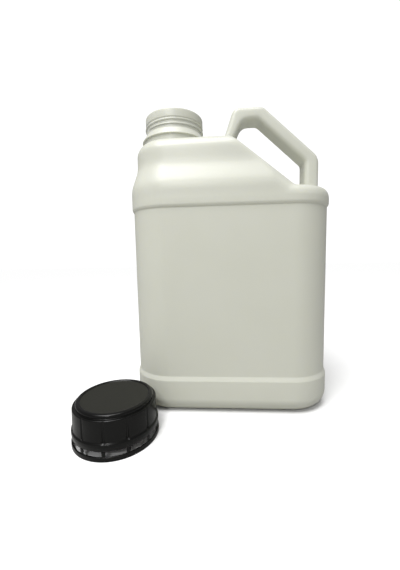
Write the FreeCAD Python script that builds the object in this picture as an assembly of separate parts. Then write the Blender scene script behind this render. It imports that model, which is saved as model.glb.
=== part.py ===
# Five-litre jug for liquid detergent, with its screw closure standing beside it.
#
# Frame: millimetres, +X right along the jug's width, +Y to the back, +Z up.
# The origin is the middle of the jug's base, on the surface that it stands on.
# Separate pieces, one STEP file each:
#   container    blow-moulded jug, one hollow piece with its handle and threaded neck
#   screw_cap    injection-moulded cap with a grip skirt and an inside thread
#   liner_wad    foam sealing disc held inside the cap
#   tamper_band  ring below the cap, with the stubs of its breakable bridges
import os
from math import atan2, cos, degrees, hypot, pi, radians, sin, tan

import FreeCAD, Part
from FreeCAD import Vector

# ---------------------------------------------------------------- jug body
BODY_WIDTH = 190.0        # label panel, left to right
BODY_DEPTH = 126.0        # label panel, front to back
CORNER_RADIUS = 37.4      # upright corners of the label panel
WALL = 1.5                # blow-moulded wall
BAND_PROUD = 1.6          # the two bands stand this far out from the label panel
BAND_STEP = 1.4           # height of the slope between a band and the panel
FOOT_RADIUS = 15.0        # round edge between the base and the lower band
LOWER_BAND_TOP = 32.0
UPPER_BAND_BOTTOM = 192.8 # where the upper band leaves the panel
UPPER_BAND_RADIUS = 4.4   # round lower edge of the upper band
STANDING_RING = 9.0       # width of the flat ring that the jug stands on
PUSH_UP = 3.0             # the base inside the ring is raised by this much
PUSH_UP_SLOPE = 5.0       # width of the slope up to the raised part

# ---------------------------------------------------------------- shoulder
LOW_DECK = 210.0          # height of the deck at the right end
LOW_DECK_RADIUS = 8.0
HIGH_DECK = 258.0         # height of the deck around the neck
HIGH_DECK_RADIUS = 12.0
SHOULDER_INSET = 5.2      # shoulder walls stand this far in from the label panel
FLARE_BOTTOM = 214.5      # corners of the flare between the upper band and the shoulder
FLARE_TOP = 233.0
FLARE_RADIUS = 26.0
SLOPE_TOP_X = 1.1         # the slanted deck under the handle runs from here
SLOPE_BOTTOM_X = 60.6     # down to here
SLOPE_RADIUS = 14.0       # round edges at the front and back of the slanted deck

# ---------------------------------------------------------------- handle
HANDLE_DEPTH = 24.0       # front to back
HANDLE_TOP = 301.0
HANDLE_BAR = 12.8         # thickness of the top bar and of the slanted bar
HANDLE_POST = 14.4        # thickness of the two posts
HANDLE_EDGE = 4.5         # rounding along the handle's edges
HANDLE_LEAN = 63.8        # degrees between the left post and the deck
HANDLE_FALL = 42.5        # degrees between the slanted bar and the level
HANDLE_LEFT_X = 7.2       # left end of the top bar, before rounding
HANDLE_BEND_X = 37.6      # right end of the top bar, before rounding
HANDLE_END = 0.5          # the right post stands this far in from the label panel's right end
HANDLE_RIGHT_X = BODY_WIDTH / 2 - HANDLE_END
HANDLE_ROOT = 10.0        # both posts run this far below the decks

# ---------------------------------------------------------------- neck
NECK_ASIDE = 39.0         # the neck's axis is this far from the label panel's left end
NECK_X = NECK_ASIDE - BODY_WIDTH / 2
NECK_TOP = 294.8
NECK_BORE_RADIUS = 27.0
NECK_BASE_RADIUS = 32.8   # plain wall below the bead
BEAD_RADIUS = 34.5        # bead that holds the tamper band down
BEAD_BOTTOM = 269.5
BEAD_EDGE = 0.6           # height of the bead's outer edge
BEAD_LEAD = 7.0           # height of the cone above the bead's edge
THREAD_RADIUS = 31.0      # over the crests
THREAD_DEPTH = 1.1
THREAD_PITCH = 4.4
THREAD_TURNS = 1.4
THREAD_START = 279.4      # height of the thread's middle where it begins
THREAD_FIRST = -140.0     # degrees from +X to where it begins
THREAD_FOOT = 2.2         # width of the thread at its root
THREAD_CREST = 1.1        # width of the thread at its crest
LIP_RADIUS = 30.5
LIP_BOTTOM = 286.9        # lower edge of the smooth band above the thread
LIP_EDGE = 1.5            # rounding at the mouth

# ---------------------------------------------------------------- closure
CLOSURE_ASIDE = 4.0       # the closure's axis is this far to the left of the label panel's end
CLOSURE_AHEAD = 31.2      # and this far in front of the label panel
CLOSURE_X = -(BODY_WIDTH / 2 + CLOSURE_ASIDE)
CLOSURE_Y = -(BODY_DEPTH / 2 + CLOSURE_AHEAD)
CAP_HEIGHT = 33.6         # tamper band and cap together
CAP_RADIUS = 34.2         # over the grip panels, at their lower end
CAP_TOP_RADIUS = 33.8     # over the grip panels, at their upper end
CAP_RIM_RADIUS = 31.4     # raised rim around the top disc
CAP_RIM_ROUND = 1.8
CAP_RIM_HEIGHT = 3.0      # from the ledge up to the top of the rim
CAP_DISC_RADIUS = 27.4    # sunk disc inside the rim
CAP_DISC_SINK = 0.8
CAP_PLATE = 2.0           # thickness of the top plate
CAP_FLARE_RADIUS = 35.3   # bead below the grip panels
CAP_FLARE_TOP = 14.0
CAP_FLARE_BOTTOM = 10.9
CAP_SKIRT_RADIUS = 35.0   # plain edge of the cap below its bead
CAP_MOUTH_HEIGHT = 3.4    # height of the cone inside the cap's mouth
GRIP_COUNT = 12
GRIP_GROOVE_WIDTH = 1.6
GRIP_GROOVE_DEPTH = 0.9
GRIP_START = -85.0        # degrees from +X to the first groove
THREAD_CLEARANCE = 0.3    # between the cap's thread and the neck's, radially
LINER_THICKNESS = 1.2
LINER_CLEARANCE = 0.1     # liner to cap, above and around
LINER_LEDGE = 0.7         # width and height of the bead that holds the liner in
BAND_RADIUS = 35.5
BAND_THICKNESS = 1.1
BAND_HEIGHT = 3.7
BAND_HOOK = 1.0           # the band's inner bead, which catches below the neck's bead
WINDOW_HEIGHT = 4.2       # gap between the band and the cap
BRIDGE_WIDTH = 3.0
BRIDGE_THICKNESS = 0.45   # thin enough to stand clear of the neck's bead
BRIDGE_GAP = 0.3          # the bridges end this far below the cap

OVERRUN = 1.0             # tools run this far past the faces that they cut


# ---------------------------------------------------------------- outlines
def inset(corners, distance):
    """Move an anticlockwise outline of (x, z, radius) corners inwards, with its radii."""
    moved = []
    for index, (x, z, radius) in enumerate(corners):
        last_x, last_z, _ = corners[index - 1]
        next_x, next_z, _ = corners[(index + 1) % len(corners)]
        arrive = Vector(x - last_x, z - last_z, 0).normalize()
        leave = Vector(next_x - x, next_z - z, 0).normalize()
        shift = distance / (1 + arrive.dot(leave))
        outside_corner = arrive.cross(leave).z > 0
        if radius > 0:
            radius = max(radius - distance if outside_corner else radius + distance, 0.0)
        moved.append((x - shift * (arrive.y + leave.y), z + shift * (arrive.x + leave.x), radius))
    return moved


def outline(corners):
    """Closed wire in the XZ plane through (x, z, radius) corners, rounded where radius > 0."""
    runs = []
    arcs = []
    for index, (x, z, radius) in enumerate(corners):
        corner = Vector(x, 0, z)
        last_x, last_z, _ = corners[index - 1]
        next_x, next_z, _ = corners[(index + 1) % len(corners)]
        back = Vector(last_x - x, 0, last_z - z).normalize()
        ahead = Vector(next_x - x, 0, next_z - z).normalize()
        half_angle = back.getAngle(ahead) / 2
        if radius > 0:
            reach = radius / tan(half_angle)
            middle = (back + ahead).normalize() * (radius / sin(half_angle) - radius)
            start = corner + back * reach
            end = corner + ahead * reach
            arcs.append(Part.Arc(start, corner + middle, end).toShape())
        else:
            start = corner
            end = corner
            arcs.append(None)
        runs.append((start, end))
    edges = []
    for index, (start, end) in enumerate(runs):
        if arcs[index]:
            edges.append(arcs[index])
        following = runs[(index + 1) % len(runs)][0]
        if end.distanceToPoint(following) > 1e-6:
            edges.append(Part.LineSegment(end, following).toShape())
    return Part.Wire(edges)


def spun(corners, x=0.0, y=0.0):
    """Solid of revolution about the upright line at x, y: corner x values are radii."""
    face = Part.Face(outline(corners))
    solid = face.revolve(Vector(0, 0, 0), Vector(0, 0, 1), 360)
    solid.translate(Vector(x, y, 0))
    return solid


def carried_round(corners):
    """Carry an outline round the jug's rounded rectangle.

    Corner x values are distances from the axis of an upright corner. The first
    and last corners lie on that axis.
    """
    core_x = BODY_WIDTH / 2 - CORNER_RADIUS
    core_y = BODY_DEPTH / 2 - CORNER_RADIUS
    low = corners[0][1]
    high = corners[-1][1]
    corners = [(0.0, low, 0.0)] + corners[1:-1] + [(0.0, high, 0.0)]
    face = Part.Face(outline(corners))
    blocks = [Part.makeBox(2 * core_x, 2 * core_y, high - low, Vector(-core_x, -core_y, low))]
    for turn, across, along in ((0, core_x, core_y), (90, core_y, core_x),
                                (180, core_x, core_y), (270, core_y, core_x)):
        side = face.copy()
        side.translate(Vector(across, -along, 0))
        side = side.extrude(Vector(0, 2 * along, 0))
        corner = face.revolve(Vector(0, 0, 0), Vector(0, 0, 1), 90)
        corner.translate(Vector(across, along, 0))
        for block in (side, corner):
            block.rotate(Vector(0, 0, 0), Vector(0, 0, 1), turn)
            blocks.append(block)
    return blocks[0].fuse(blocks[1:]).removeSplitter()


def helical_ridge(radius, outwards, start, turns):
    """Thread ridge on a cylinder of the given radius, standing outwards (+1) or inwards (-1)."""
    helix = Part.makeHelix(THREAD_PITCH, THREAD_PITCH * turns, radius)
    root = radius - outwards * THREAD_CLEARANCE
    crest = radius + outwards * THREAD_DEPTH
    points = [Vector(root, 0, -THREAD_FOOT / 2), Vector(crest, 0, -THREAD_CREST / 2),
              Vector(crest, 0, THREAD_CREST / 2), Vector(root, 0, THREAD_FOOT / 2)]
    section = Part.makePolygon(points + points[:1])
    ridge = Part.Wire(helix).makePipeShell([section], True, True)
    ridge.rotate(Vector(0, 0, 0), Vector(0, 0, 1), THREAD_FIRST)
    ridge.translate(Vector(0, 0, start))
    return ridge


# ---------------------------------------------------------------- jug
def lower_body(wall):
    """Base, lower band, label panel, upper band and low deck, moved in by the wall."""
    band = CORNER_RADIUS + BAND_PROUD
    corners = [(0.0, 0.0, 0.0),
               (band, 0.0, FOOT_RADIUS),
               (band, LOWER_BAND_TOP, 0.0),
               (CORNER_RADIUS, LOWER_BAND_TOP + BAND_STEP, 0.0),
               (CORNER_RADIUS, UPPER_BAND_BOTTOM, 0.0),
               (band, UPPER_BAND_BOTTOM + BAND_STEP, UPPER_BAND_RADIUS),
               (band, LOW_DECK, LOW_DECK_RADIUS),
               (0.0, LOW_DECK, 0.0)]
    return carried_round(inset(corners, wall)).cut(push_up(wall))


def push_up(wall):
    """Raised middle of the base, as the space below it, grown by the wall."""
    edge = CORNER_RADIUS + BAND_PROUD - FOOT_RADIUS - STANDING_RING
    corners = [(0.0, -OVERRUN, 0.0),
               (edge + PUSH_UP_SLOPE * OVERRUN / PUSH_UP, -OVERRUN, 0.0),
               (edge - PUSH_UP_SLOPE, PUSH_UP, 0.0),
               (0.0, PUSH_UP, 0.0)]
    return carried_round(inset(corners, -wall))


def shoulder(wall):
    """Chamber around the neck, above the upper band, with its slanted deck."""
    band = CORNER_RADIUS + BAND_PROUD
    chamber = CORNER_RADIUS - SHOULDER_INSET
    start = (UPPER_BAND_BOTTOM + LOW_DECK) / 2
    corners = [(0.0, start, 0.0),
               (band, start, 0.0),
               (band, FLARE_BOTTOM, FLARE_RADIUS),
               (chamber, FLARE_TOP, FLARE_RADIUS),
               (chamber, HIGH_DECK, HIGH_DECK_RADIUS),
               (0.0, HIGH_DECK, 0.0)]
    return carried_round(inset(corners, wall)).common(slanted_slab(wall))


def slanted_slab(wall):
    """Everything below the slanted deck, with round front and back edges."""
    reach = 2 * (BODY_WIDTH + HIGH_DECK)
    half = BODY_DEPTH / 2 + BAND_PROUD - wall
    slab = Part.makeBox(reach, 2 * half, reach, Vector(-reach / 2, -half, -reach - wall))
    top_edges = [edge for edge in slab.Edges
                 if abs(edge.CenterOfMass.z + wall) < 1e-6 and abs(abs(edge.CenterOfMass.y) - half) < 1e-6]
    slab = slab.makeFillet(SLOPE_RADIUS - wall, top_edges)
    fall = degrees(atan2(HIGH_DECK - LOW_DECK, SLOPE_BOTTOM_X - SLOPE_TOP_X))
    slab.rotate(Vector(0, 0, 0), Vector(0, 1, 0), fall)
    slab.translate(Vector(SLOPE_TOP_X, 0, HIGH_DECK))
    return slab


def handle(wall):
    """Arch of two posts, a top bar and a slanted bar, moved in by the wall."""
    lean = 1 / tan(radians(HANDLE_LEAN))
    fall = tan(radians(HANDLE_FALL))
    left_foot = HIGH_DECK - HANDLE_ROOT
    right_foot = LOW_DECK - HANDLE_ROOT
    knee = HANDLE_TOP - fall * (HANDLE_RIGHT_X - HANDLE_BEND_X)
    window_top = HANDLE_TOP - HANDLE_BAR
    post_shift = HANDLE_POST / sin(radians(HANDLE_LEAN))
    window_right = HANDLE_RIGHT_X - HANDLE_POST
    # The inner line of the slanted bar, as its height where the outer line meets the top.
    bar_drop = HANDLE_BAR / cos(radians(HANDLE_FALL))
    window_left = HANDLE_LEFT_X - lean * HANDLE_BAR + post_shift
    window_bend = HANDLE_BEND_X - (bar_drop - HANDLE_BAR) / fall
    window_knee = HANDLE_TOP - bar_drop - fall * (window_right - HANDLE_BEND_X)
    foot_x = HANDLE_LEFT_X - lean * (HANDLE_TOP - left_foot)
    corners = [(foot_x, left_foot, 0.0),
               (foot_x + post_shift, left_foot, 0.0),
               (window_left, window_top, 10.0),
               (window_bend, window_top, 5.0),
               (window_right, window_knee, 4.0),
               (window_right, right_foot, 0.0),
               (HANDLE_RIGHT_X, right_foot, 0.0),
               (HANDLE_RIGHT_X, knee, 15.0),
               (HANDLE_BEND_X, HANDLE_TOP, 7.0),
               (HANDLE_LEFT_X, HANDLE_TOP, 8.0)]
    half = HANDLE_DEPTH / 2 - wall
    face = Part.Face(outline(inset(corners, wall)))
    face.translate(Vector(0, -half, 0))
    solid = face.extrude(Vector(0, 2 * half, 0))
    rims = [edge for edge in solid.Edges if abs(abs(edge.CenterOfMass.y) - half) < 1e-6]
    return solid.makeFillet(HANDLE_EDGE - wall, rims)


def neck():
    """Neck with its bead, thread and lip, still solid."""
    root = THREAD_RADIUS - THREAD_DEPTH
    foot = HIGH_DECK - HIGH_DECK_RADIUS
    bead_top = BEAD_BOTTOM + BEAD_EDGE
    corners = [(0.0, foot, 0.0),
               (NECK_BASE_RADIUS, foot, 0.0),
               (NECK_BASE_RADIUS, BEAD_BOTTOM, 0.0),
               (BEAD_RADIUS, BEAD_BOTTOM, 0.0),
               (BEAD_RADIUS, bead_top, 0.0),
               (root, bead_top + BEAD_LEAD, 0.0),
               (root, LIP_BOTTOM - (LIP_RADIUS - root), 0.0),
               (LIP_RADIUS, LIP_BOTTOM, 0.0),
               (LIP_RADIUS, NECK_TOP, LIP_EDGE),
               (0.0, NECK_TOP, 0.0)]
    ridge = helical_ridge(root, 1, THREAD_START, THREAD_TURNS)
    ridge.translate(Vector(NECK_X, 0, 0))
    return spun(corners, NECK_X).fuse(ridge)


def container():
    outside = lower_body(0.0).fuse([shoulder(0.0), handle(0.0), neck()])
    bore_bottom = HIGH_DECK - HIGH_DECK_RADIUS
    bore = Part.makeCylinder(NECK_BORE_RADIUS, NECK_TOP + OVERRUN - bore_bottom,
                             Vector(NECK_X, 0, bore_bottom))
    inside = lower_body(WALL).fuse([shoulder(WALL), handle(WALL), bore])
    return outside.cut(inside).removeSplitter()


# ---------------------------------------------------------------- closure
def screw_cap():
    """Cap with a sunk top disc, a grip skirt and an inside thread."""
    bore = THREAD_RADIUS + THREAD_CLEARANCE
    bottom = BAND_HEIGHT + WINDOW_HEIGHT
    disc_top = CAP_HEIGHT - CAP_DISC_SINK
    plate_bottom = disc_top - CAP_PLATE
    ledge = CAP_HEIGHT - CAP_RIM_HEIGHT
    liner_bottom = plate_bottom - LINER_THICKNESS - 2 * LINER_CLEARANCE
    mouth = BEAD_RADIUS - (BEAD_RADIUS - bore) * CAP_MOUTH_HEIGHT / BEAD_LEAD
    corners = [(0.0, plate_bottom, 0.0),
               (bore, plate_bottom, 0.0),
               (bore, liner_bottom, 0.0),
               (bore - LINER_LEDGE, liner_bottom - LINER_LEDGE, 0.0),
               (bore, liner_bottom - 2 * LINER_LEDGE, 0.0),
               (bore, bottom + CAP_MOUTH_HEIGHT, 0.0),
               (mouth, bottom, 0.0),
               (CAP_SKIRT_RADIUS, bottom, 0.0),
               (CAP_FLARE_RADIUS, CAP_FLARE_BOTTOM, 0.0),
               (CAP_FLARE_RADIUS, CAP_FLARE_TOP - (CAP_FLARE_RADIUS - CAP_RADIUS), 0.0),
               (CAP_RADIUS, CAP_FLARE_TOP, 0.0),
               (CAP_TOP_RADIUS, ledge, 0.8),
               (CAP_RIM_RADIUS, ledge, 0.0),
               (CAP_RIM_RADIUS, CAP_HEIGHT, CAP_RIM_ROUND),
               (CAP_DISC_RADIUS + CAP_DISC_SINK, CAP_HEIGHT, 0.0),
               (CAP_DISC_RADIUS, disc_top, 0.0),
               (0.0, disc_top, 0.0)]
    cap = spun(corners)
    grooves = []
    for index in range(GRIP_COUNT):
        groove = Part.makeBox(GRIP_GROOVE_DEPTH + OVERRUN, GRIP_GROOVE_WIDTH, ledge - CAP_FLARE_TOP + OVERRUN,
                              Vector(CAP_RADIUS - GRIP_GROOVE_DEPTH, -GRIP_GROOVE_WIDTH / 2, CAP_FLARE_TOP))
        groove.rotate(Vector(0, 0, 0), Vector(0, 0, 1), GRIP_START + index * 360 / GRIP_COUNT)
        grooves.append(groove)
    # Screwed down, the cap's thread lies half a turn away from the neck's.
    seat = NECK_TOP - (plate_bottom - LINER_THICKNESS - LINER_CLEARANCE)
    ridge = helical_ridge(bore, -1, THREAD_START - seat, THREAD_TURNS)
    ridge.rotate(Vector(0, 0, 0), Vector(0, 0, 1), 180)
    cap = cap.cut(grooves).fuse(ridge)
    cap.translate(Vector(CLOSURE_X, CLOSURE_Y, 0))
    return cap


def liner_wad():
    """Foam disc that lies against the cap's top plate."""
    plate_bottom = CAP_HEIGHT - CAP_DISC_SINK - CAP_PLATE
    radius = THREAD_RADIUS + THREAD_CLEARANCE - LINER_CLEARANCE
    bottom = plate_bottom - LINER_CLEARANCE - LINER_THICKNESS
    return Part.makeCylinder(radius, LINER_THICKNESS, Vector(CLOSURE_X, CLOSURE_Y, bottom))


def tamper_band():
    """Ring with an inner hook bead, and bridges that stand up to the cap."""
    inner = BAND_RADIUS - BAND_THICKNESS
    corners = [(inner, 0.0, 0.0),
               (BAND_RADIUS, 0.0, 0.0),
               (BAND_RADIUS, BAND_HEIGHT, 0.0),
               (inner, BAND_HEIGHT, 0.0),
               (inner - BAND_HOOK, BAND_HEIGHT / 2, 0.0)]
    ring = spun(corners)
    bridges = []
    for index in range(GRIP_COUNT):
        bridge = Part.makeBox(BRIDGE_THICKNESS, BRIDGE_WIDTH, WINDOW_HEIGHT - BRIDGE_GAP + OVERRUN,
                              Vector(CAP_SKIRT_RADIUS - BRIDGE_THICKNESS, -BRIDGE_WIDTH / 2,
                                     BAND_HEIGHT - OVERRUN))
        bridge.rotate(Vector(0, 0, 0), Vector(0, 0, 1), GRIP_START + index * 360 / GRIP_COUNT)
        bridges.append(bridge)
    band = ring.fuse(bridges).removeSplitter()
    band.translate(Vector(CLOSURE_X, CLOSURE_Y, 0))
    return band


PIECES = {"container": container, "screw_cap": screw_cap,
          "liner_wad": liner_wad, "tamper_band": tamper_band}

os.makedirs("parts", exist_ok=True)
for name, make in PIECES.items():
    piece = make()
    piece.exportStep("parts/" + name + ".step")
    box = piece.BoundBox
    print(f"{name}: {len(piece.Solids)} solid(s), valid {piece.isValid()}, {piece.Volume / 1000:.1f} cm3, "
          f"x {box.XMin:.1f}..{box.XMax:.1f}, y {box.YMin:.1f}..{box.YMax:.1f}, z {box.ZMin:.1f}..{box.ZMax:.1f}")
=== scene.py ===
# %% [markdown]
# # A laundry detergent jug and its screw cap
#
# This file is a lesson in cells. It takes the measured model of a five-litre
# detergent jug as a frame and gives it the surface of the real thing: a
# blow-moulded jug of natural-white polyethylene, and a moulded black closure
# that stands beside it. +X is to the right, +Z is up, and the origin is the
# middle of the jug's base. The shapes are worked out in millimetres, and
# `publish` turns each finished mesh into metres.

# %% The frame
from math import atan2, ceil, copysign, cos, degrees, hypot, pi, radians, sin, tan

import bmesh
import bpy
from bmesh.types import BMEdge, BMVert
from mathutils import Matrix, Vector


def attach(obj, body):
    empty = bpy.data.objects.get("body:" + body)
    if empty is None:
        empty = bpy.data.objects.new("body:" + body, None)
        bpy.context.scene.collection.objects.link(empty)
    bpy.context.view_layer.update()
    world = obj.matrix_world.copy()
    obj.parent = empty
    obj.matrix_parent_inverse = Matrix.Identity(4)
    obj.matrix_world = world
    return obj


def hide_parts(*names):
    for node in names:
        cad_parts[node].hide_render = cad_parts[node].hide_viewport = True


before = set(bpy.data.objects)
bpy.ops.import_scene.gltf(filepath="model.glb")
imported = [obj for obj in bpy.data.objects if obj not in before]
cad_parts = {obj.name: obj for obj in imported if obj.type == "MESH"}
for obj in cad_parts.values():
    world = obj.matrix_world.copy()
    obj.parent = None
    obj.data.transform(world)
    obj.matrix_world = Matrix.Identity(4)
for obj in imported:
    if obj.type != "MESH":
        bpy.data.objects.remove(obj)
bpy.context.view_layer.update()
MM = 0.001

# %% [markdown]
# ## Helpers for the shapes
#
# Most of the object is drawn as a line of corners, each with a radius, the way
# a mould maker would dimension it. `rounded` turns such a line into points with
# an arc at each corner. `pull` extrudes an open loop of edges and puts each new
# vertex where a rule says, so a whole wall is a row of pulls down its profile.

# %% Shape helpers
ARC_STEP = 9.0          # degrees of turn between two points of an arc


def rounded(corners, step=ARC_STEP):
    """Points along a line of (radius, z, rounding) corners, with arcs at the rounded ones."""
    points = []
    for index, (x, z, radius) in enumerate(corners):
        here = Vector((x, z))
        if radius == 0 or index in (0, len(corners) - 1):
            points.append(here)
            continue
        back = (Vector(corners[index - 1][:2]) - here).normalized()
        ahead = (Vector(corners[index + 1][:2]) - here).normalized()
        half = back.angle(ahead) / 2
        centre = here + (back + ahead).normalized() * (radius / sin(half))
        start = here + back * (radius / tan(half)) - centre
        end = here + ahead * (radius / tan(half)) - centre
        turn = -start.angle_signed(end)
        count = max(2, ceil(abs(turn) / radians(step)))
        for place in range(count + 1):
            points.append(centre + Matrix.Rotation(turn * place / count, 2) @ start)
    return points


def pull(bm, edges, rule):
    """Extrude a loop of edges and move its new vertices by the rule; returns the new edges."""
    made = bmesh.ops.extrude_edge_only(bm, edges=edges)["geom"]
    verts = [item for item in made if isinstance(item, BMVert)]
    fresh = set(verts)
    for vert in verts:
        vert.co = rule(vert.co)
    return [item for item in made if isinstance(item, BMEdge) and set(item.verts) <= fresh]


def spun(points, steps, closed=False):
    """A full turn of a line of (radius, z) points about the upright axis, without a seam."""
    bm = bmesh.new()
    first = bmesh.ops.create_vert(bm, co=(points[0][0], 0, points[0][1]))["vert"][0]
    last = first
    for radius, z in points[1:]:
        last = bmesh.ops.extrude_vert_indiv(bm, verts=[last])["verts"][0]
        last.co = (radius, 0, z)
    if closed:
        bmesh.ops.contextual_create(bm, geom=[last, first])
    bmesh.ops.spin(bm, geom=bm.verts[:] + bm.edges[:], cent=(0, 0, 0), axis=(0, 0, 1), angle=2 * pi,
                   steps=steps, use_merge=True)
    bmesh.ops.remove_doubles(bm, verts=bm.verts, dist=1e-4)
    return bm


def publish(bm, name, sharp=35.0):
    """Make an object from a mesh in millimetres, with outward normals and smooth shading."""
    bmesh.ops.recalc_face_normals(bm, faces=bm.faces)
    bmesh.ops.scale(bm, vec=(MM, MM, MM), verts=bm.verts)
    mesh = bpy.data.meshes.new(name)
    bm.to_mesh(mesh)
    bm.free()
    mesh.shade_smooth()
    mesh.set_sharp_from_angle(angle=radians(sharp))
    piece = bpy.data.objects.new(name, mesh)
    bpy.context.scene.collection.objects.link(piece)
    box = [round(size / MM, 1) for size in piece.dimensions]
    print(name, "is", box, "mm,", sum(len(face.vertices) - 2 for face in mesh.polygons), "triangles")
    return piece


# %% [markdown]
# ## The upper half of the jug
#
# The shoulder is one soft surface: a chamber around the neck, a slanted deck
# that falls to the right, a low deck at the right end, and a slanted handle
# that grows out of both decks. Such a surface comes out of a mould with every
# inner corner softened by the melt. It is made here the way clay would be: the
# solids are laid into each other, a voxel remesh fuses them into one skin, and
# a few rounds of smoothing soften the corners.

# %% Sizes of the jug
HALF_WIDTH = 95.0
HALF_DEPTH = 63.0
PROUD = 1.6              # how far the two bands stand proud of the label panel
CORNER = 37.4            # radius of the label panel's upright corners
BAND = CORNER + PROUD    # the same at the two bands
CHAMBER = CORNER - 5.2   # the same at the shoulder
CORE_X = HALF_WIDTH - CORNER
CORE_Y = HALF_DEPTH - CORNER
LOW_DECK = 210.0
HIGH_DECK = 258.0
SLOPE_TOP = 1.1          # x where the slanted deck leaves the high deck
SLOPE_BOTTOM = 60.6      # x where it meets the low deck
NECK_X = -56.0
NECK_BASE = 32.8
SEAM_Z = 200.0           # below this height the walls are drawn exactly
NECK_SEAM_Z = 264.0      # above this height the neck is drawn exactly
VOXEL = 1.3
SOFTEN = 16             # rounds of smoothing; after the third, only near the decks


def at_wall(co, radius, z):
    """The point at this height whose distance from the nearest upright corner axis is the radius."""
    core = Vector((max(-CORE_X, min(CORE_X, co.x)), max(-CORE_Y, min(CORE_Y, co.y))))
    out = (co.xy - core).normalized()
    place = core + out * radius
    return Vector((place.x, place.y, z))


def carried(points, segments=128):
    """A solid whose wall follows the (radius, z) points all round the rounded rectangle."""
    bm = bmesh.new()
    bmesh.ops.create_circle(bm, segments=segments, radius=10,
                            matrix=Matrix.Rotation(pi / segments, 4, "Z"))
    for vert in bm.verts:
        vert.co.x += copysign(CORE_X, vert.co.x)
        vert.co.y += copysign(CORE_Y, vert.co.y)
        vert.co = at_wall(vert.co, *points[0])
    bottom = bm.edges[:]
    edges = bottom
    for radius, z in points[1:]:
        edges = pull(bm, edges, lambda co, r=radius, h=z: at_wall(co, r, h))
    for rim in (bottom, edges):
        bmesh.ops.contextual_create(bm, geom=rim)
    bmesh.ops.recalc_face_normals(bm, faces=bm.faces)
    return bm


def loose(bm, name):
    """A helper object, in millimetres, that is taken away again before the end."""
    mesh = bpy.data.meshes.new(name)
    bm.to_mesh(mesh)
    bm.free()
    made = bpy.data.objects.new(name, mesh)
    bpy.context.scene.collection.objects.link(made)
    return made


def settled(made):
    """The object's mesh with its modifiers applied; the object itself is removed."""
    bpy.context.view_layer.update()
    result = bpy.data.meshes.new_from_object(made.evaluated_get(bpy.context.evaluated_depsgraph_get()))
    bm = bmesh.new()
    bm.from_mesh(result)
    bpy.data.meshes.remove(result)
    bpy.data.objects.remove(made)
    return bm


# %% The chamber, cut by the slanted deck
START_Z = 185.0
low_block = carried(rounded([(BAND, START_Z, 0), (BAND, LOW_DECK, 8), (6, LOW_DECK, 0)]))
chamber = loose(carried(rounded([(BAND, START_Z, 0), (BAND, 214.5, 26), (CHAMBER, 233, 26),
                                 (CHAMBER, HIGH_DECK, 12), (6, HIGH_DECK, 0)])), "chamber")
FALL = atan2(HIGH_DECK - LOW_DECK, SLOPE_BOTTOM - SLOPE_TOP)
REACH = 700.0            # the cutting slab is far larger than the jug
SLOPE_EDGE = 14.0        # bevel along the slanted deck's two long edges
slab_bm = bmesh.new()
bmesh.ops.create_cube(slab_bm, size=1, matrix=Matrix.Translation((0, 0, -REACH / 2))
                      @ Matrix.Diagonal((REACH, 2 * (HALF_DEPTH + PROUD), REACH, 1)))
long_edges = [edge for edge in slab_bm.edges
              if all(abs(vert.co.z) < 1e-6 for vert in edge.verts)
              and abs(edge.verts[0].co.y - edge.verts[1].co.y) < 1e-6]
bmesh.ops.bevel(slab_bm, geom=long_edges, offset=SLOPE_EDGE, offset_type="OFFSET", segments=10, profile=0.5,
                affect="EDGES", material=-1)
bmesh.ops.transform(slab_bm, verts=slab_bm.verts,
                    matrix=Matrix.Translation((SLOPE_TOP, 0, HIGH_DECK)) @ Matrix.Rotation(FALL, 4, "Y"))
slab = loose(slab_bm, "slab")
cut = chamber.modifiers.new("slanted deck", "BOOLEAN")
cut.operation = "INTERSECT"
cut.solver = "EXACT"
cut.object = slab
high_block = settled(chamber)
bpy.data.objects.remove(slab)
print("slanted deck falls at", round(degrees(FALL), 1), "degrees")

# %% [markdown]
# The handle is a flat arch seen from the front: two posts, a level top bar and
# a slanted bar. Its outline is ten corners, rounded in the plane, extruded to
# the handle's depth, and then bevelled all round, so that it fits a hand.

# %% The handle
HANDLE_DEPTH = 24.0
HANDLE_TOP = 301.0
HANDLE_BAR = 12.8
HANDLE_POST = 14.4
HANDLE_LEAN = 63.8
HANDLE_FALL = 42.5
HANDLE_LEFT = 7.2
HANDLE_BEND = 37.6
HANDLE_RIGHT = 94.5
HANDLE_EDGE = 4.2
lean = 1 / tan(radians(HANDLE_LEAN))
fall = tan(radians(HANDLE_FALL))
left_foot = HIGH_DECK - 10
right_foot = LOW_DECK - 10
post_shift = HANDLE_POST / sin(radians(HANDLE_LEAN))
bar_drop = HANDLE_BAR / cos(radians(HANDLE_FALL))
window_right = HANDLE_RIGHT - HANDLE_POST
foot_x = HANDLE_LEFT - lean * (HANDLE_TOP - left_foot)
handle_corners = [
    (foot_x, left_foot, 0), (foot_x + post_shift, left_foot, 0),
    (HANDLE_LEFT - lean * HANDLE_BAR + post_shift, HANDLE_TOP - HANDLE_BAR, 10),
    (HANDLE_BEND - (bar_drop - HANDLE_BAR) / fall, HANDLE_TOP - HANDLE_BAR, 5),
    (window_right, HANDLE_TOP - bar_drop - fall * (window_right - HANDLE_BEND), 4),
    (window_right, right_foot, 0), (HANDLE_RIGHT, right_foot, 0),
    (HANDLE_RIGHT, HANDLE_TOP - fall * (HANDLE_RIGHT - HANDLE_BEND), 15),
    (HANDLE_BEND, HANDLE_TOP, 7), (HANDLE_LEFT, HANDLE_TOP, 8)]
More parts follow.
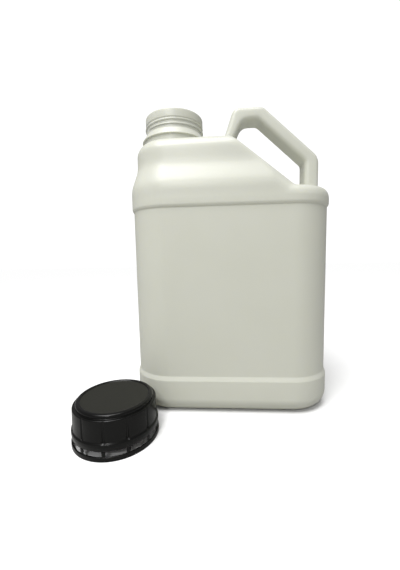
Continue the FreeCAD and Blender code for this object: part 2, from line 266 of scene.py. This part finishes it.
# The line starts and ends in the middle of the left foot, so all ten corners are inside it.
middle = (foot_x + post_shift / 2, left_foot, 0)
line = rounded([middle] + handle_corners + [middle])[:-1]
handle_bm = bmesh.new()
bmesh.ops.create_circle(handle_bm, segments=len(line), radius=1)
handle_bm.verts.ensure_lookup_table()
for vert, point in zip(handle_bm.verts, line):
    vert.co = (point.x, -HANDLE_DEPTH / 2, point.y)
front = bmesh.ops.contextual_create(handle_bm, geom=handle_bm.edges[:])["faces"]
made = bmesh.ops.extrude_face_region(handle_bm, geom=front, use_keep_orig=True)["geom"]
back_verts = [item for item in made if isinstance(item, BMVert)]
bmesh.ops.translate(handle_bm, vec=(0, HANDLE_DEPTH, 0), verts=back_verts)
bmesh.ops.recalc_face_normals(handle_bm, faces=handle_bm.faces)
rims = [edge for edge in handle_bm.edges if abs(edge.verts[0].co.y - edge.verts[1].co.y) < 1e-6]
bmesh.ops.bevel(handle_bm, geom=rims, offset=HANDLE_EDGE, offset_type="OFFSET", segments=5, profile=0.5,
                affect="EDGES", material=-1, clamp_overlap=False)
print("handle outline of", len(line), "points")

# %% Fuse the solids and soften the corners
stub_bm = bmesh.new()
bmesh.ops.create_cone(stub_bm, cap_ends=True, segments=96, radius1=NECK_BASE, radius2=NECK_BASE, depth=40,
                      matrix=Matrix.Translation((NECK_X, 0, HIGH_DECK)))
together = bmesh.new()
for solid in (low_block, high_block, handle_bm, stub_bm):
    mesh = bpy.data.meshes.new("solid")
    solid.to_mesh(mesh)
    solid.free()
    together.from_mesh(mesh)
    bpy.data.meshes.remove(mesh)
clay = loose(together, "clay")
fuse = clay.modifiers.new("fuse", "REMESH")
fuse.mode = "VOXEL"
fuse.voxel_size = VOXEL
fuse.adaptivity = 0
jug = settled(clay)


def above_deck(co):
    """Height of a point above the deck that lies below it."""
    slanted = HIGH_DECK - (co.x - SLOPE_TOP) * (HIGH_DECK - LOW_DECK) / (SLOPE_BOTTOM - SLOPE_TOP)
    return co.z - max(LOW_DECK, min(HIGH_DECK, slanted))


for turn in range(SOFTEN):
    chosen = [vert for vert in jug.verts if turn < 3 or -9 < above_deck(vert.co) < 7]
    bmesh.ops.smooth_vert(jug, verts=chosen, factor=0.5, use_axis_x=True, use_axis_y=True, use_axis_z=True)
print("fused shoulder has", len(jug.faces), "faces")

# %% [markdown]
# ## The lower half and the neck
#
# Below the shoulder the wall is the same rounded rectangle all the way down, so
# it is pulled down its profile: upper band with a round lower edge, a crisp
# step to the label panel, the panel itself, a slope out to the lower band, a
# big round foot, a narrow standing ring, and a base pushed up in the middle.
# The neck is pulled up in the same way from a circle: the plain base, the bead
# that holds the tamper ring down, a cone, the thread's root, the smooth lip,
# and then down the bore into the jug. The bead and lip are sharper than the
# shoulder, because the neck is calibrated by a mandrel.


# %% Cut the two seams and pull the walls
def cut_away(bm, z, keep_above, geometry):
    """Cut the geometry at a height, clear one side, and return the open loop of edges."""
    bmesh.ops.bisect_plane(bm, geom=geometry, dist=1e-4, plane_co=(0, 0, z), plane_no=(0, 0, 1),
                           clear_inner=keep_above, clear_outer=not keep_above)
    rim = [vert for vert in bm.verts if vert.is_boundary and abs(vert.co.z - z) < 1e-3]
    bmesh.ops.remove_doubles(bm, verts=rim, dist=0.25)
    return [edge for edge in bm.edges if edge.is_boundary and all(abs(v.co.z - z) < 1e-3 for v in edge.verts)]


cut_away(jug, SEAM_Z, True, jug.verts[:] + jug.edges[:] + jug.faces[:])
near_neck = [face for face in jug.faces
             if face.calc_center_median().z > HIGH_DECK + 2
             and hypot(face.calc_center_median().x - NECK_X, face.calc_center_median().y) < NECK_BASE + 1.5]
near_geometry = set(near_neck)
for face in near_neck:
    near_geometry.update(face.edges)
    near_geometry.update(face.verts)
neck_loop = cut_away(jug, NECK_SEAM_Z, False, list(near_geometry))
floor_loop = [edge for edge in jug.edges if edge.is_boundary and edge.verts[0].co.z < SEAM_Z + 1]
for vert in jug.verts:
    if vert.co.z < LOW_DECK - 9:
        vert.co = at_wall(vert.co, BAND, vert.co.z)


def round_neck(co, radius, z):
    out = Vector((co.x - NECK_X, co.y)).normalized() * radius
    return Vector((NECK_X + out.x, out.y, z))


for vert in {vert for edge in neck_loop for vert in edge.verts}:
    vert.co = round_neck(vert.co, NECK_BASE, NECK_SEAM_Z)

FOOT_RADIUS = 15.0
STANDING = BAND - FOOT_RADIUS - 9.0      # inner edge of the standing ring, which is 9 mm wide
lower = rounded([(BAND, SEAM_Z, 0), (BAND, 194.2, 4.4), (CORNER, 192.8, 0)], step=6)[1:]
lower += [Vector((CORNER, z)) for z in (192.0, 186.0, 172.0, 150.0, 128.0, 106.0, 84.0, 62.0, 42.0)]
lower += rounded([(CORNER, 38.0, 0), (CORNER, 36.0, 3.0), (BAND, 32.0, 2.5), (BAND, 0.0, FOOT_RADIUS),
                  (STANDING, 0.0, 1.5), (STANDING - 5, 3.0, 2.0), (4.0, 3.0, 0)], step=6)
edges = floor_loop
for radius, z in lower:
    edges = pull(jug, edges, lambda co, r=radius, h=z: at_wall(co, r, h))
bmesh.ops.contextual_create(jug, geom=edges)

LIP = 30.5
ROOT = 29.9
BORE = 27.0
BEAD = 34.5
NECK_TOP = 294.8
neck_line = rounded([(NECK_BASE, NECK_SEAM_Z, 0), (NECK_BASE, 269.5, 0.3), (BEAD, 269.5, 0.25),
                     (BEAD, 270.1, 0.4), (ROOT, 277.1, 0.4), (ROOT, 286.3, 0.5), (LIP, 286.9, 0.4),
                     (LIP, NECK_TOP, 1.5), (BORE, NECK_TOP, 0.6), (BORE, 257.0, 0)], step=15)[1:]
edges = neck_loop
for radius, z in neck_line:
    edges = pull(jug, edges, lambda co, r=radius, h=z: round_neck(co, r, h))
print("neck circle of", len(edges), "edges, wall loop of", len(floor_loop), "edges")

# %% [markdown]
# The jug is hollow, and a look down the bore shows its inside. The inner skin
# goes on from the bore: each ring follows the wall from inside, one wall
# thickness away, and ends in the base.

# %% The inner skin
WALL = 1.5


def inside_wall(co, shrink, radius, z):
    """Where a ray from the neck's axis through co meets the inside of the jug at this height."""
    right = HALF_WIDTH + PROUD
    if z > LOW_DECK - WALL:
        right = SLOPE_BOTTOM - (z - LOW_DECK) * (SLOPE_BOTTOM - SLOPE_TOP) / (HIGH_DECK - LOW_DECK)
    low = Vector((-CORE_X - radius + shrink, -CORE_Y - radius + shrink))
    high = Vector((min(CORE_X + radius, right) - shrink - WALL, CORE_Y + radius - shrink))
    corner = max(radius - shrink, 4.0)
    way = Vector((co.x - NECK_X, co.y)).normalized()
    near, far = 0.0, 2 * (HALF_WIDTH + HALF_DEPTH)
    for _ in range(30):
        reach = (near + far) / 2
        x = NECK_X + way.x * reach
        dx = max(low.x + corner - x, x - high.x + corner, 0.0)
        dy = max(abs(way.y * reach) - high.y + corner, 0.0)
        outside = x < low.x or x > high.x or hypot(dx, dy) > corner
        near, far = (near, reach) if outside else (reach, far)
    return Vector((NECK_X + way.x * near, way.y * near, z))


inner_rings = [(11.5, CHAMBER, 256.5), (6.0, CHAMBER, 254.9), (2.6, CHAMBER, 251.0), (WALL, CHAMBER, 246.0),
               (WALL, CHAMBER, 234.0), (WALL, CHAMBER + 3.2, 224.0), (WALL, BAND, 212.0), (WALL, BAND, 208.6),
               (7.0, BAND, 208.4), (3.2, BAND, 206.5), (WALL, BAND, 202.0), (WALL, BAND, 196.0),
               (WALL, CORNER, 192.0), (WALL, CORNER, 110.0), (WALL, CORNER, 34.0), (WALL, BAND, 31.0),
               (WALL, BAND, 15.0), (4.5, BAND, 5.0), (10.0, BAND, 2.0), (22.0, BAND, 2.0), (30.0, BAND, 4.5)]
outer_faces = set(jug.faces)
for shrink, radius, z in inner_rings:
    edges = pull(jug, edges, lambda co, s=shrink, r=radius, h=z: inside_wall(co, s, r, h))
bmesh.ops.contextual_create(jug, geom=edges)
for face in jug.faces:
    face.material_index = 0 if face in outer_faces else 1
bmesh.ops.triangulate(jug, faces=[face for face in jug.faces if len(face.verts) > 4])
print("jug skin has", sum(edge.is_boundary for edge in jug.edges), "open edges")


# %% [markdown]
# ## The thread
#
# The thread is a round-backed ridge, 1.4 turns long, that runs out softly at
# both ends so that it fills and leaves the mould easily. It is a spun section
# that climbs by its pitch on each turn, and its ends are drawn in towards the
# root. The cap has the same thread inside, turned half a turn.

# %% Thread of the neck
PITCH = 4.4
TURNS = 1.4
HALF_RIDGE = 1.05        # half the width of the ridge
RIDGE = 1.1              # how far it stands out of the root
RUNOUT = 0.06            # turns over which it fades at each end
THREAD_START = 279.4
THREAD_FIRST = -140.0    # degrees from +X to where the neck's thread starts


def helix(root, depth, start, turns, first_angle=0.0):
    """A ridge on a cylinder: depth is positive for an outside thread, negative for an inside one."""
    bm = bmesh.new()
    bmesh.ops.create_circle(bm, segments=12, radius=1, matrix=Matrix.Translation((root, 0, 0))
                            @ Matrix.Rotation(pi / 2, 4, "X")
                            @ Matrix.Diagonal((abs(depth), HALF_RIDGE, 1, 1)))
    section = bm.verts[:] + bm.edges[:]
    steps = int(96 * turns)
    bmesh.ops.spin(bm, geom=section, cent=(0, 0, 0), axis=(0, 0, 1), angle=2 * pi * turns, steps=steps,
                   dvec=(0, 0, PITCH * turns / steps), use_merge=False)
    for vert in bm.verts:
        turn = vert.co.z / PITCH
        share = min(1.0, max(0.0, turn / RUNOUT + 0.3), max(0.0, (turns - turn) / RUNOUT + 0.3))
        out = Vector((vert.co.x, vert.co.y))
        radius = root + (out.length - root) * share - (1 - share) * 0.2 * copysign(1, depth)
        out = out.normalized() * radius
        vert.co = (out.x, out.y, vert.co.z + start)
    bmesh.ops.holes_fill(bm, edges=[edge for edge in bm.edges if edge.is_boundary], sides=0)
    bmesh.ops.rotate(bm, cent=(0, 0, 0), matrix=Matrix.Rotation(first_angle, 3, "Z"), verts=bm.verts)
    bmesh.ops.recalc_face_normals(bm, faces=bm.faces)
    return bm


def add_into(target, source, offset=(0, 0, 0)):
    """Lay one mesh into another and free it."""
    bmesh.ops.translate(source, vec=offset, verts=source.verts)
    mesh = bpy.data.meshes.new("laid in")
    source.to_mesh(mesh)
    source.free()
    target.from_mesh(mesh)
    bpy.data.meshes.remove(mesh)


add_into(jug, helix(ROOT, RIDGE, THREAD_START, TURNS, radians(THREAD_FIRST)), (NECK_X, 0, 0))
container = publish(jug, "jug")
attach(container, "jug")
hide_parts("container")

# %% [markdown]
# ## The closure
#
# The cap is a tall ribbed shell: a disc sunk inside a rounded rim, twelve grip
# panels with a groove between each two, and a bead above the skirt's edge.
# Below it stands the tamper ring, which twelve thin bridges tie to the cap until
# it is first opened. Both are spun from one profile. The grooves are pressed
# into the spun skin, which has a vertex every half degree for this.

# %% Screw cap
CLOSURE = Vector((-99.0, -94.2, 0.0))
CAP_HEIGHT = 33.6
CAP_BOTTOM = 7.9
LEDGE = CAP_HEIGHT - 3.0
DISC_TOP = CAP_HEIGHT - 0.8
PLATE = DISC_TOP - 2.0
CAP_BORE = 31.3
LINER_BOTTOM = PLATE - 1.4
GRIPS = 12
GRIP_START = radians(-85)
GROOVE_WIDTH = 1.6
GROOVE_BOTTOM = 33.3     # radius at the bottom of a groove
CAP_THREAD_START = 14.1  # meets the neck's thread when the wad lies on the lip
cap_line = rounded([(0.0, PLATE, 0), (CAP_BORE, PLATE, 0.2), (CAP_BORE, LINER_BOTTOM, 0),
                    (CAP_BORE - 0.7, LINER_BOTTOM - 0.7, 0.3), (CAP_BORE, LINER_BOTTOM - 1.4, 0),
                    (CAP_BORE, CAP_BOTTOM + 3.4, 0.6), (33.15, CAP_BOTTOM, 0.3), (35.0, CAP_BOTTOM, 0.35),
                    (35.3, 10.9, 1.0), (35.3, 12.9, 1.0), (34.2, 14.0, 0.5), (34.0, 22.0, 0),
                    (33.8, LEDGE, 0.9), (31.4, LEDGE, 0.3), (31.4, CAP_HEIGHT, 1.8),
                    (28.2, CAP_HEIGHT, 0.35), (27.4, DISC_TOP, 0.5), (14.0, DISC_TOP, 0),
                    (0.0, DISC_TOP, 0)], step=18)
cap_bm = spun(cap_line, 720)


def groove_depth(angle, width):
    """How deep the groove is at this angle: full in the middle, with steep sides."""
    pitch = 2 * pi / GRIPS
    away = abs((angle - GRIP_START + pitch / 2) % pitch - pitch / 2) * 34
    return max(0.0, min(1.0, (width / 2 + 0.25 - away) / 0.5))


for vert in cap_bm.verts:
    radius = vert.co.xy.length
    if radius > 33.0 and 13.8 < vert.co.z < LEDGE + 0.01:
        share = groove_depth(atan2(vert.co.y, vert.co.x), GROOVE_WIDTH)
        reach = min(radius, GROOVE_BOTTOM)
        vert.co.xy = vert.co.xy * ((radius + (reach - radius) * share) / radius)
add_into(cap_bm, helix(CAP_BORE, -RIDGE, CAP_THREAD_START, TURNS, radians(THREAD_FIRST + 180)))
bmesh.ops.translate(cap_bm, vec=CLOSURE, verts=cap_bm.verts)
cap = publish(cap_bm, "cap", sharp=40)
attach(cap, "cap")
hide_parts("screw_cap")

# %% Tamper ring and liner
ring_bm = spun(rounded([(35.0, 0.0, 0), (35.5, 0.0, 0.3), (35.5, 3.7, 0.4), (34.4, 3.7, 0.2),
                        (33.4, 1.85, 0.3), (34.4, 0.0, 0.2), (34.9, 0.0, 0)], step=18), 240, closed=True)
for index in range(GRIPS):
    bridge = bmesh.new()
    bmesh.ops.create_cube(bridge, size=1, matrix=Matrix.Rotation(GRIP_START + index * 2 * pi / GRIPS, 4, "Z")
                          @ Matrix.Translation((34.775, 0, 5.15)) @ Matrix.Diagonal((0.45, 3.0, 4.9, 1)))
    bmesh.ops.bevel(bridge, geom=bridge.edges[:], offset=0.08, offset_type="OFFSET", segments=2, profile=0.5,
                    affect="EDGES", material=-1)
    add_into(ring_bm, bridge)
bmesh.ops.translate(ring_bm, vec=CLOSURE, verts=ring_bm.verts)
ring = publish(ring_bm, "ring", sharp=40)
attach(ring, "band")
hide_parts("tamper_band")

liner_bm = spun(rounded([(0.0, PLATE - 1.3, 0), (31.2, PLATE - 1.3, 0.3), (31.2, PLATE - 0.1, 0.3),
                         (0.0, PLATE - 0.1, 0)], step=18), 180)
bmesh.ops.translate(liner_bm, vec=CLOSURE, verts=liner_bm.verts)
liner = publish(liner_bm, "liner")
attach(liner, "liner")
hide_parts("liner_wad")

# %% [markdown]
# ## Materials
#
# Natural-white polyethylene lets a little light in, so its shadows are soft and
# slightly green-yellow. Its skin is satin, with the fine orange peel of a
# sand-blasted mould. The black polypropylene of the closure is glossier on its
# moulded beads and matt on the sunk disc, which the mould maker textures.


# %% Material helpers
def linear(code):
    """sRGB hex code to linear colour."""
    values = [int(code[place:place + 2], 16) / 255 for place in (1, 3, 5)]
    return tuple(v / 12.92 if v <= 0.04045 else ((v + 0.055) / 1.055) ** 2.4 for v in values) + (1.0,)


def add(tree, kind, links=None, **settings):
    """Add one node, set its properties and sockets, and link named inputs to other nodes' outputs."""
    node = tree.nodes.new(kind)
    for key, value in settings.items():
        setattr(node, key, value)
    for socket, source in (links or {}).items():
        if isinstance(source, bpy.types.NodeSocket):
            tree.links.new(source, node.inputs[socket])
        else:
            node.inputs[socket].default_value = source
    return node


def material(name):
    made = bpy.data.materials.new(name)
    made.use_nodes = True
    tree = made.node_tree
    shader = tree.nodes["Principled BSDF"]
    place = add(tree, "ShaderNodeTexCoord").outputs["Object"]
    return made, tree, shader, place


# %% Blow-moulded polyethylene
hdpe, tree, shader, place = material("natural_white_hdpe_blow_moulded")
shader.inputs["IOR"].default_value = 1.54
shader.inputs["Subsurface Weight"].default_value = 0.25
shader.inputs["Subsurface Radius"].default_value = (1.0, 0.95, 0.7)
shader.inputs["Subsurface Scale"].default_value = 0.004
cloud = add(tree, "ShaderNodeTexNoise", {"Vector": place, "Scale": 18.0, "Detail": 3.0, "Roughness": 0.5})
tint = add(tree, "ShaderNodeMix", {"Factor": cloud.outputs["Fac"], "A": linear("#CBCCC0"),
                                   "B": linear("#CFD0C6")}, data_type="RGBA")
tree.links.new(tint.outputs[2], shader.inputs["Base Color"])
sheen = add(tree, "ShaderNodeMapRange", {"Value": cloud.outputs["Fac"], "To Min": 0.36, "To Max": 0.44})
tree.links.new(sheen.outputs["Result"], shader.inputs["Roughness"])
peel = add(tree, "ShaderNodeTexNoise", {"Vector": place, "Scale": 900.0, "Detail": 2.0, "Roughness": 0.5})
split = add(tree, "ShaderNodeSeparateXYZ", {"Vector": place})
side = add(tree, "ShaderNodeMath", {0: split.outputs["Y"]}, operation="ABSOLUTE")
parting = add(tree, "ShaderNodeMapRange", {"Value": side.outputs[0], "From Min": 0.0001, "From Max": 0.0005,
                                           "To Min": 1.0, "To Max": 0.0}, interpolation_type="SMOOTHSTEP")
skin = add(tree, "ShaderNodeBump", {"Height": peel.outputs["Fac"], "Strength": 0.25, "Distance": 0.00006})
flash = add(tree, "ShaderNodeBump", {"Height": parting.outputs["Result"], "Strength": 0.6, "Distance": 0.00015,
                                     "Normal": skin.outputs["Normal"]})
tree.links.new(flash.outputs["Normal"], shader.inputs["Normal"])
container.data.materials.append(hdpe)

# The inside is given a faint emission: a painted glow that stands in for the light that comes through the thin
# wall.
inside = hdpe.copy()
inside.name = "natural_white_hdpe_inside_painted_glow"
shader = inside.node_tree.nodes["Principled BSDF"]
shader.inputs["Emission Color"].default_value = linear("#DADBCC")
shader.inputs["Emission Strength"].default_value = 0.3
container.data.materials.append(inside)

# %% Moulded black polypropylene
black, tree, shader, place = material("black_pp_injection_moulded")
shader.inputs["Specular IOR Level"].default_value = 0.22
shader.inputs["IOR"].default_value = 1.49
split = add(tree, "ShaderNodeSeparateXYZ", {"Vector": place})
away_x = add(tree, "ShaderNodeMath", {0: split.outputs["X"], 1: -CLOSURE.x * MM}, operation="ADD")
away_y = add(tree, "ShaderNodeMath", {0: split.outputs["Y"], 1: -CLOSURE.y * MM}, operation="ADD")
flat = add(tree, "ShaderNodeCombineXYZ", {"X": away_x.outputs[0], "Y": away_y.outputs[0]})
radius = add(tree, "ShaderNodeVectorMath", {0: flat.outputs[0]}, operation="LENGTH")
in_disc = add(tree, "ShaderNodeMapRange", {"Value": radius.outputs["Value"], "From Min": 0.0278,
                                           "From Max": 0.0272, "To Min": 0.0, "To Max": 1.0})
on_top = add(tree, "ShaderNodeMath", {0: split.outputs["Z"], 1: (DISC_TOP - 0.5) * MM}, operation="GREATER_THAN")
disc = add(tree, "ShaderNodeMath", {0: in_disc.outputs["Result"], 1: on_top.outputs[0]}, operation="MULTIPLY")
rough = add(tree, "ShaderNodeMapRange", {"Value": disc.outputs[0], "To Min": 0.22, "To Max": 0.6})
tone = add(tree, "ShaderNodeMix", {"Factor": disc.outputs[0], "A": linear("#0B0B0A"), "B": linear("#252520")},
           data_type="RGBA")
tree.links.new(tone.outputs[2], shader.inputs["Base Color"])
tree.links.new(rough.outputs["Result"], shader.inputs["Roughness"])
grain = add(tree, "ShaderNodeTexNoise", {"Vector": place, "Scale": 2600.0, "Detail": 2.0})
texture = add(tree, "ShaderNodeMath", {0: grain.outputs["Fac"], 1: disc.outputs[0]}, operation="MULTIPLY")
etched = add(tree, "ShaderNodeBump", {"Height": texture.outputs[0], "Strength": 0.5, "Distance": 0.00008})
wave = add(tree, "ShaderNodeTexNoise", {"Vector": place, "Scale": 240.0, "Detail": 1.0})
moulded = add(tree, "ShaderNodeBump", {"Height": wave.outputs["Fac"], "Strength": 0.12, "Distance": 0.0001,
                                       "Normal": etched.outputs["Normal"]})
tree.links.new(moulded.outputs["Normal"], shader.inputs["Normal"])
cap.data.materials.append(black)
ring.data.materials.append(black)

# %% Foam of the liner
foam, tree, shader, place = material("white_pe_foam_closed_cell")
shader.inputs["Base Color"].default_value = linear("#E9E9E5")
shader.inputs["Roughness"].default_value = 0.75
shader.inputs["IOR"].default_value = 1.5
cells = add(tree, "ShaderNodeTexVoronoi", {"Vector": place, "Scale": 2500.0})
pores = add(tree, "ShaderNodeBump", {"Height": cells.outputs["Distance"], "Strength": 0.4, "Distance": 0.0001})
tree.links.new(pores.outputs["Normal"], shader.inputs["Normal"])
liner.data.materials.append(foam)
print("materials:", [made.name for made in (hdpe, black, foam)])

# %% [markdown]
# ## Camera
#
# The jug is seen from close by with a short lens, a little below the height of
# the shoulder, so its sides run together towards the base and the flat decks
# are out of sight. The lens is given in millimetres for a frame whose long
# side is 36 mm, and the camera is turned by its yaw, pitch and roll.

# %% Place the camera
CAMERA_PLACE = Vector((-10.2, -310.5, 146.4)) * MM
CAMERA_YAW = -3.96      # degrees to the left
CAMERA_PITCH = -5.44    # degrees down
CAMERA_ROLL = -1.18
LENS = 17.29
FRAME_SIDE = 36.0

camera_data = bpy.data.cameras.new("camera")
camera_data.lens = LENS
camera_data.sensor_width = FRAME_SIDE
camera = bpy.data.objects.new("camera", camera_data)
camera.matrix_world = (Matrix.Translation(CAMERA_PLACE)
                       @ Matrix.Rotation(-radians(CAMERA_YAW), 4, "Z")
                       @ Matrix.Rotation(radians(90 + CAMERA_PITCH), 4, "X")
                       @ Matrix.Rotation(radians(CAMERA_ROLL), 4, "Z"))
bpy.context.scene.collection.objects.link(camera)
bpy.context.scene.camera = camera
print("camera looks along", [round(c, 3) for c in camera.matrix_world.to_3x3() @ Vector((0, 0, -1))])

# %% [markdown]
# ## Stage and light
#
# A product cut-out look: to the camera the floor and the room run to white, and
# only a faint contact shadow is left. For the light that the floor throws back
# it is a mid-grey paper, so the undersides of the handle and the bands stay
# dark enough to read. A very wide soft sun stands nearly overhead, a soft key
# light stands close by at the upper left, so that the shoulder is brighter than
# the panel and the right side falls off, the room fills the rest, and one small
# lamp in front makes the glints on the closure.

# %% Floor and lights
bpy.ops.mesh.primitive_plane_add(size=12)
floor = bpy.context.object
floor.name = "floor"
paper, tree, shader, place = material("white_paper_sweep")
seen = add(tree, "ShaderNodeLightPath").outputs["Is Camera Ray"]
tone = add(tree, "ShaderNodeMix", {"Factor": seen, "A": (0.45, 0.45, 0.44, 1), "B": (1.0, 1.0, 1.0, 1)},
           data_type="RGBA")
tree.links.new(tone.outputs[2], shader.inputs["Base Color"])
shader.inputs["Roughness"].default_value = 0.9
shader.inputs["Specular IOR Level"].default_value = 0.0
floor.data.materials.append(paper)

room = bpy.data.worlds.new("room")
bpy.context.scene.world = room
room.use_nodes = True
tree = room.node_tree
seen = add(tree, "ShaderNodeLightPath").outputs["Is Camera Ray"]
level = add(tree, "ShaderNodeMapRange", {"Value": seen, "To Min": 0.32, "To Max": 1.1})
tree.nodes["Background"].inputs["Color"].default_value = (1, 1, 1, 1)
tree.links.new(level.outputs["Result"], tree.nodes["Background"].inputs["Strength"])


def lamp(name, kind, energy, place, aim):
    """A lamp of the given kind that looks at the aim point."""
    data = bpy.data.lights.new(name, kind)
    data.energy = energy
    made = bpy.data.objects.new(name, data)
    made.location = place
    made.rotation_euler = (Vector(aim) - Vector(place)).to_track_quat("-Z", "Y").to_euler()
    bpy.context.scene.collection.objects.link(made)
    return data


lamp("soft_sun", "SUN", 2.2, (-0.15, -0.25, 1.0), (0, 0, 0)).angle = radians(40)
key = lamp("key", "AREA", 3.0, (-0.25, -0.5, 0.85), (0, 0, 0.15))
key.shape = "SQUARE"
key.size = 0.3
glint = lamp("glint", "AREA", 1.5, (-0.16, -0.85, 0.62), (-0.05, -0.05, 0.1))
glint.shape = "SQUARE"
glint.size = 0.06
bpy.context.scene.view_settings.view_transform = "Standard"
